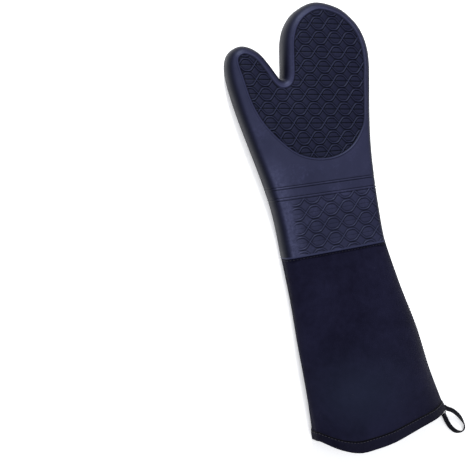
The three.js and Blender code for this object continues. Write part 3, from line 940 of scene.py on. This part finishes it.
def folds(share, degrees):
    """Soft folds of the hanging cloth: how far it sinks, in millimetres."""
    angle = np.radians(degrees)
    upper = np.sin(angle) > 0
    free = smoothstep(0.02, 0.25, share)
    away = np.abs(np.sin(angle)) ** 0.7
    rng = np.random.default_rng(SEED)
    sink = 0
    for _ in range(7):
        turns, slant, phase, size = rng.uniform([1.2, -5, 0, 0.25], [4.2, 5, 6.28, 0.7])
        sink = sink + size * np.sin(turns * angle * 2 + slant * share + phase)
    corner = np.exp(-(((degrees - 158) / 9) ** 2)) * smoothstep(0.7, 1, share) * 2.2
    return np.where(upper, free * away * (sink * 0.55) + corner, free * away * sink * 0.2)


def even_degrees(low, high, count):
    fine = np.linspace(low, high, 721)
    line = section(np.full(len(fine), 0.6), fine)
    lengths = np.r_[0, np.cumsum(np.linalg.norm(np.diff(line, axis=0), axis=1))]
    return np.interp(np.linspace(0, lengths[-1], count), lengths, fine)


def cloth_sheet(name, shares, degrees, depth, thick, material):
    """A closed thin sheet of cloth between two surfaces of the sleeve."""
    rows, columns = len(shares), len(degrees)
    share, degree = np.meshgrid(shares, degrees, indexing="ij")
    outer = sleeve_points(share, degree, np.full_like(share, depth))
    inner = sleeve_points(share, degree, np.full_like(share, depth + thick))
    width = np.cumsum(np.r_[0, np.linalg.norm(np.diff(outer[rows // 2], axis=0), axis=1)])
    width = np.broadcast_to(width, share.shape)
    cloth = np.stack([width, share * SLEEVE_LENGTH, np.zeros_like(share)], axis=-1)
    points = np.vstack([outer.reshape(-1, 3), inner.reshape(-1, 3)])
    index = np.arange(rows * columns).reshape(rows, columns)
    corners = (index[:-1, :-1], index[:-1, 1:], index[1:, 1:], index[1:, :-1])
    quads = np.column_stack([corner.ravel() for corner in corners])
    total = rows * columns
    faces = [quads[:, ::-1], quads + total]
    border = np.concatenate([index[0, :-1], index[:-1, -1], index[-1, :0:-1], index[:0:-1, 0]])
    follow = np.roll(border, -1)
    faces.append(np.column_stack([border, follow, follow + total, border + total]))
    faces = [face[::-1] for face in np.vstack(faces).tolist()]
    # a paler patch, round, on the sleeve's top towards the hem
    across = (degree - PALE_PATCH_DEGREE) / PALE_PATCH_SPREAD
    down = (share - PALE_PATCH_SHARE) / PALE_PATCH_LENGTH
    pale_patch = 0.5 * np.exp(-(across**2) - down**2)
    marks = {"pale_patch": np.tile(pale_patch.ravel(), 2)}
    cloth = np.vstack([cloth.reshape(-1, 3)] * 2)
    return new_piece(name, points, faces, material, marks=marks, cloth=cloth)


def panel_size(side):
    """The cut size of one panel of the sleeve, in metres, and its area."""
    shares = np.linspace(0, 1, 60)
    degrees = even_degrees(*SEAM_DEGREES, 60) + (0 if side == "palm" else 180)
    share, degree = np.meshgrid(shares, degrees, indexing="ij")
    grid = section(share, degree) / 1000
    widths = np.linalg.norm(np.diff(grid, axis=1), axis=2).sum(1)
    length = np.linalg.norm(np.diff(grid, axis=0), axis=2).sum(0).max()
    return widths.max(), length, np.trapz(widths, shares) * length * 0.98


def sleeve_cloth():
    """Canvas and lining, each a palm panel and a back panel sewn at the sides."""
    layers = (
        ("canvas", 0, CANVAS_THICK, -0.001, 150),
        ("lining", LINING_DEPTH, LINING_THICK, -0.004, 110),
    )
    stands_for = {
        "canvas_palm": ("sleeve_palm", "sleeve_fold"),
        "canvas_back": ("sleeve_back", "sleeve_fold"),
        "lining_palm": ("sleeve_lining_palm",),
        "lining_back": ("sleeve_lining_back",),
    }
    for slot, depth, thick, start, rows in layers:
        for side, turn in (("palm", 0), ("back", 180)):
            degrees = even_degrees(*SEAM_DEGREES, 120) + turn
            shares = np.linspace(start, 1, rows)
            name = f"{slot}_{side}"
            obj = cloth_sheet(name, shares, degrees, depth, thick, slot)
            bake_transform(obj)
            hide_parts(*stands_for[name])
            width, length, area = panel_size(side)


def ring_of(name, profile, material, painted_edge_shade=0, count=520):
    """A closed band round the sleeve from a closed profile of (share, depth) points.

    The first points of the profile, as many as that count gives, are painted with shade as the dark line
    along its edge.
    """
    half = even_degrees(*SEAM_DEGREES, count // 2)
    degrees = np.r_[half, half + 180]
    share = np.array([p[0] for p in profile])[None, :]
    depth = np.array([p[1] for p in profile])[None, :]
    grid = sleeve_points(share, degrees[:, None], depth)
    around = np.r_[0, np.cumsum(np.linalg.norm(np.diff(grid[:, 0], axis=0), axis=1))]
    down = np.r_[0, np.cumsum(np.linalg.norm(np.diff(grid[0], axis=0), axis=1))]
    cloth = np.stack(np.broadcast_arrays(around[:, None], down[None, :], 0.0), axis=-1)
    n = len(profile)
    faces = []
    for i in range(len(degrees)):
        for j in range(n):
            k, m = (j + 1) % n, (i + 1) % len(degrees)
            faces.append((i * n + j, m * n + j, m * n + k, i * n + k))
    marks = {"painted_edge_shade": np.tile(np.arange(n) < painted_edge_shade, len(degrees)).astype(float)}
    obj = new_piece(name, grid.reshape(-1, 3), faces, material, marks=marks, cloth=cloth.reshape(-1, 3))
    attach(obj, "sleeve")
    return obj


def mouth_binding():
    """A strip of the canvas folded over the hem and sewn down, puffed a little between its seams."""
    start = 1 - BINDING_WIDTH / SLEEVE_LENGTH
    inside = LINING_DEPTH + LINING_THICK + 0.3
    outer = [(start, -0.25)]
    steps = 15
    for i in range(steps):
        t = i / (steps - 1)
        puff = 0.55 * (1 - math.exp(-(((t - 0.16) / 0.1) ** 2))) * min(1, t * 8 + 0.3)
        outer.append((lerp(start, 1.0005, t), -0.45 - BINDING_THICK * 0.6 - puff))
    turn_depth = (inside + BINDING_THICK - 1.4) / 2
    turn_radius = turn_depth + 1.5
    for angle in (-60, -30, 0, 30, 60):
        a = math.radians(angle)
        past_hem = (0.4 + 1.1 * math.cos(a)) / SLEEVE_LENGTH
        outer.append((1 + past_hem, turn_depth - 0.2 + turn_radius * math.sin(a)))
    inner = [(share, inside + BINDING_THICK) for share in np.linspace(1, start, 8)]
    back = [(start, inside), (1.0, inside), (1.0, -0.25)]
    # painted shade: the first three profile points make the dark line at the binding's upper edge
    obj = ring_of("binding", outer + inner + back, "binding", painted_edge_shade=3)
    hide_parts("mouth_binding")


# ---- stitches and the loop ----


def stitches(line, outward, length, gap, radius):
    """Separate stitches along a line: each dives into the cloth at its two ends."""
    spans = np.r_[0, np.cumsum(np.linalg.norm(np.diff(line, axis=0), axis=1))]
    points, faces = [], []
    sides, rings = 6, 6
    for start in np.arange(0, spans[-1] - length, length + gap):
        wanted = start + np.linspace(0, 1, rings) * length
        path = np.column_stack([np.interp(wanted, spans, line[:, i]) for i in range(3)])
        out = np.column_stack([np.interp(wanted, spans, outward[:, i]) for i in range(3)])
        out /= np.linalg.norm(out, axis=1, keepdims=True)
        along = np.gradient(path, axis=0)
        along /= np.linalg.norm(along, axis=1, keepdims=True)
        side = np.cross(out, along)
        arch = np.sin(np.linspace(0, math.pi, rings)) ** 0.5
        base = len(points)
        for r in range(rings):
            for s in range(sides):
                a = 2 * math.pi * s / sides
                thin = radius * (0.55 + 0.45 * arch[r])
                lift = out[r] * (radius * (1.3 * arch[r] - 0.9) + thin * math.cos(a))
                points.append(path[r] + lift + side[r] * thin * math.sin(a))
        for r in range(rings - 1):
            for s in range(sides):
                t = (s + 1) % sides
                a, b = base + r * sides, base + (r + 1) * sides
                faces.append((a + s, a + t, b + t, b + s))
        faces.append(tuple(base + s for s in range(sides))[::-1])
        faces.append(tuple(base + (rings - 1) * sides + s for s in range(sides)))
    return np.array(points), faces


def sleeve_stitches(name, shares, degrees, depth, node, body="sleeve", length=3.0, gap=1.2, radius=0.4):
    line = sleeve_points(shares, degrees, depth)
    outward = line - sleeve_points(shares, degrees, depth + 0.5)
    points, faces = stitches(line, outward, length, gap, radius)
    obj = new_piece(name, points, [face[::-1] for face in faces], "thread")
    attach(obj, body)
    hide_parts(node)


def all_stitches():
    around = np.r_[even_degrees(1, 179, 200), even_degrees(1, 179, 200) + 180]
    hem = 1 - BINDING_WIDTH * 0.84 / SLEEVE_LENGTH
    hem_depth = np.full(len(around), -0.95)
    sleeve_stitches("hem_stitches", np.full(len(around), hem), around, hem_depth, "hem_stitch")
    rim = 2.4 / SLEEVE_LENGTH
    rim_depth = np.full(len(around), 0.05)
    sleeve_stitches("rim_stitches", np.full(len(around), rim), around, rim_depth, "rim_stitch", "forearm")
    shares = np.linspace(0.22, 1 - (BINDING_WIDTH + 1) / SLEEVE_LENGTH, 120)
    for name, degree, node in (
        ("side_stitches_thumb", 178.2, "side_stitch_thumb"),
        ("side_stitches_little", 1.8, "side_stitch_little"),
    ):
        side_depth = np.full(len(shares), 0.05)
        sleeve_stitches(name, shares, np.full(len(shares), degree), side_depth, node)


def hanging_loop():
    """Two turns of narrow tape sewn edge to edge, bent round and held at the hem's corner."""
    path = even_steps(catmull_rom(LOOP_ROUTE, 12), 0.9)
    along = np.gradient(path, axis=0)
    along /= np.linalg.norm(along, axis=1, keepdims=True)
    level = np.cross(along, (0, 0, 1))
    level /= np.linalg.norm(level, axis=1, keepdims=True)
    share = np.linspace(0, 1, len(path))
    twist = np.radians(18 + 50 * np.exp(-(((share - 0.5) / 0.16) ** 2)))
    wide = np.cos(twist)[:, None] * level + np.sin(twist)[:, None] * np.array([0, 0, 1.0])
    thin = np.cross(along, wide)
    half_w, half_t = LOOP_WIDTH / 2, LOOP_THICK / 2
    crease = 0.35
    flank = [(-0.92, 0.75), (-0.6, 1), (-0.2, 0.95)]
    face = [(w * half_w, t * half_t) for w, t in flank]
    face += [(0, half_t - crease)] + [(-w, t) for w, t in face[::-1]]
    profile = [(-half_w, 0), *face, (half_w, 0), *[(w, -t) for w, t in face[::-1]]]
    n = len(profile)
    points = np.vstack([[p + w * a + t * b for a, b in profile] for p, w, t in zip(path, wide, thin)])
    faces = []
    for i in range(len(path) - 1):
        for j in range(n):
            k = (j + 1) % n
            faces.append((i * n + j, i * n + k, (i + 1) * n + k, (i + 1) * n + j))
    faces.append(tuple(range(n))[::-1])
    faces.append(tuple((len(path) - 1) * n + j for j in range(n)))
    lengths = np.repeat(share * 90, n)
    around = np.tile([a for a, _ in profile], len(path))
    cloth = np.column_stack([around, lengths, np.zeros(len(lengths))])
    loop = new_piece("loop_tape", points, faces, "tape", cloth=cloth)
    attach(loop, "loop")
    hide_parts("hanging_loop")


def bar_tack():
    """Close zigzag stitches that hold both ends of the loop in the binding."""
    low, high = (Vector(c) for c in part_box("loop_tack"))
    centre = (np.array((low + high) / 2) - np.array(shift)) * 1000
    a = np.array(LOOP_ROUTE[1][:2])
    b = np.array(LOOP_ROUTE[-2][:2])
    across = np.r_[(a - b) / np.linalg.norm(a - b), 0]
    along = np.array([-across[1], across[0], 0])
    up = np.array([0, 0, 1.0])
    points, faces = [], []
    for i in range(9):
        for side in (-1, 1):
            middle = centre + across * (i - 4) * 0.85
            line = np.array([middle - along * 1.3 + across * 0.2, middle + along * 1.3 - across * 0.2])
            line = even_steps(line + up * side * 1.9, 0.6)
            outward = np.tile(up * side, (len(line), 1))
            more, quads = stitches(line, outward, 2.4, 5, 0.36)
            faces += [tuple(q + len(points) for q in quad) for quad in quads]
            points += list(more)
    tack = new_piece("loop_bar_tack", np.array(points), faces, "thread")
    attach(tack, "sleeve")
    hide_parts("loop_tack")


camera()
studio()
materials = make_materials()
silicone_hand()
quilted_liner()
sleeve_cloth()
mouth_binding()
all_stitches()
hanging_loop()
bar_tack()
